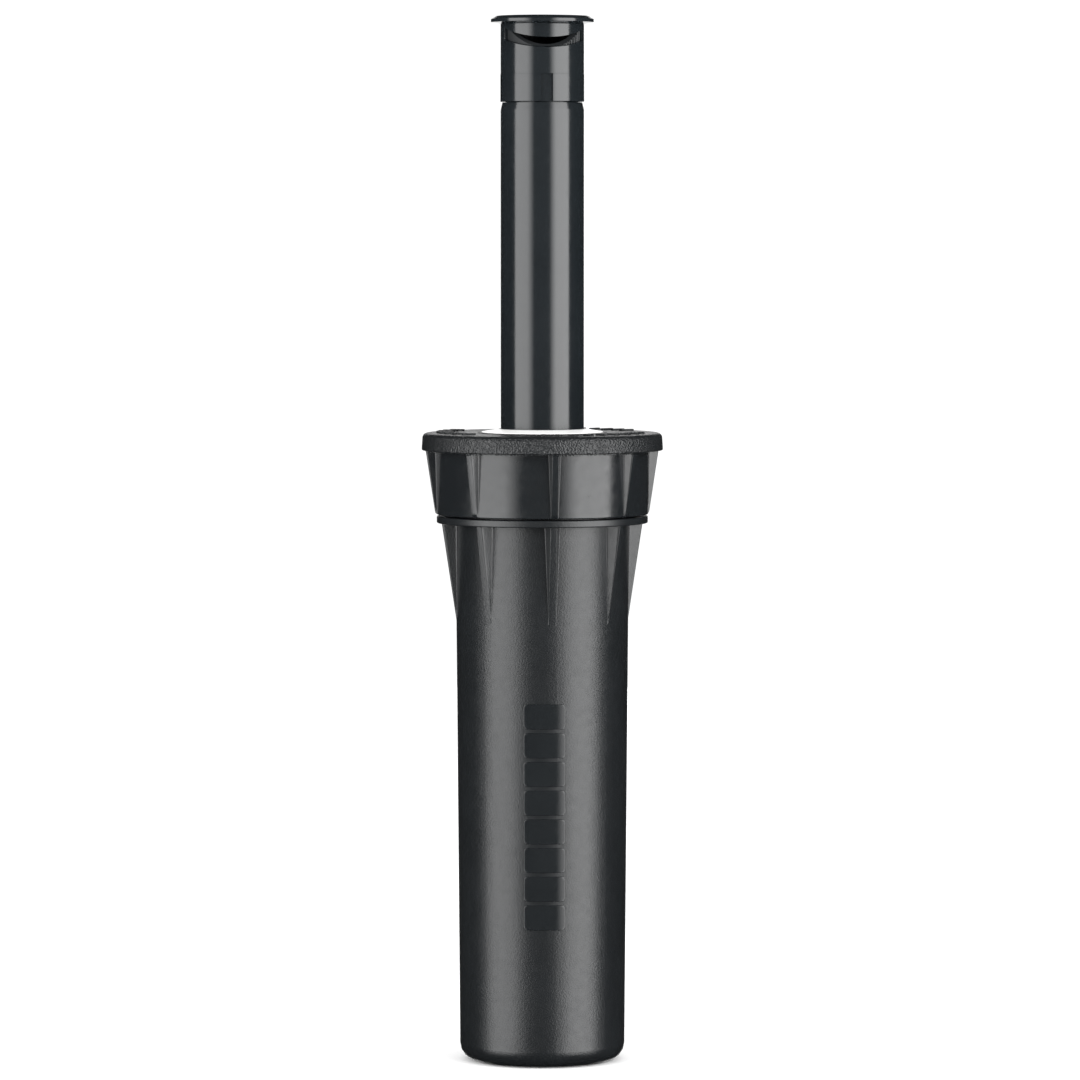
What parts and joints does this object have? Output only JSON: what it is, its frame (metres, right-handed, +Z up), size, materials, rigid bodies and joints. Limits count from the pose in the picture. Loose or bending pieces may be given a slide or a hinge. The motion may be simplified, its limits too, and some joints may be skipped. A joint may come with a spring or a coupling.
{
  "type": "pop-up spray sprinkler",
  "caption": "Tall ribbed spray sprinkler body with a wide screw cap, shown popped up, with a flush plug on its riser.",
  "frame": {"origin": "centre of the housing's flat base, on the riser's axis", "axes": "+Z up along the riser's axis, -Y the front, where the plug's window faces and a housing rib stands, +X to the right of that front"},
  "size_m": [0.057, 0.057, 0.247],
  "materials": {
    "housing": "black plastic with a fine moulded grain, satin",
    "cap": "black plastic, smooth skirt and pebbled rim",
    "guide_ring": "white low-friction plastic, smooth",
    "wiper_seal": "soft black rubber",
    "spring_seat": "grey plastic",
    "cap_gasket": "soft black rubber",
    "retract_spring": "drawn stainless steel wire",
    "ratchet_ring": "pale grey plastic",
    "riser_tube": "black plastic, smooth and glossy",
    "riser_foot": "black plastic",
    "check_seal": "soft dark red-brown rubber",
    "seal_retainer": "pale grey plastic",
    "filter_frame": "dark grey plastic",
    "filter_mesh": "woven dark grey monofilament",
    "flush_plug": "black plastic, glossy"
  },
  "bodies": {
    "housing": {"housing": "housing", "cap_gasket": "cap_gasket"},
    "seal_carrier": {"spring_seat": "spring_seat", "wiper_seal": "wiper_seal", "retract_spring": "retract_spring"},
    "cap": {"cap": "cap", "guide_ring": "guide_ring"},
    "ratchet": {"ratchet_ring": "ratchet_ring"},
    "riser": {"riser_tube": "riser_tube", "riser_foot": "riser_foot", "check_seal": "check_seal", "seal_retainer": "seal_retainer"},
    "filter": {"filter_frame": "filter_frame", "filter_mesh": "filter_mesh"},
    "plug": {"flush_plug": "flush_plug"}
  },
  "joints": [
    {"name": "cap_lift", "type": "slide", "parent": "housing", "child": "seal_carrier", "axis": [0, 0, 1], "range_m": [0, 0.009]},
    {"name": "cap_turn", "type": "hinge", "parent": "seal_carrier", "child": "cap", "pos_m": [0, 0, 0.138], "axis": [0, 0, 1], "range_deg": [0, 1080]},
    {"name": "riser_slide", "type": "slide", "parent": "seal_carrier", "child": "ratchet", "axis": [0, 0, 1], "range_m": [-0.0952, 0], "deforming": ["retract_spring"]},
    {"name": "riser_turn", "type": "hinge", "parent": "ratchet", "child": "riser", "pos_m": [0, 0, 0.117], "axis": [0, 0, 1], "continuous": true},
    {"name": "plug_lift", "type": "slide", "parent": "riser", "child": "filter", "axis": [0, 0, 1], "range_m": [0, 0.0054]},
    {"name": "plug_turn", "type": "hinge", "parent": "filter", "child": "plug", "pos_m": [0, 0, 0.23], "axis": [0, 0, 1], "range_deg": [0, 1080]}
  ],
  "couplings": [
    {"joint": "cap_lift", "follows": "cap_turn", "m_per_rad": 0.00047746},
    {"joint": "plug_lift", "follows": "plug_turn", "m_per_rad": 0.00028648}
  ]
}
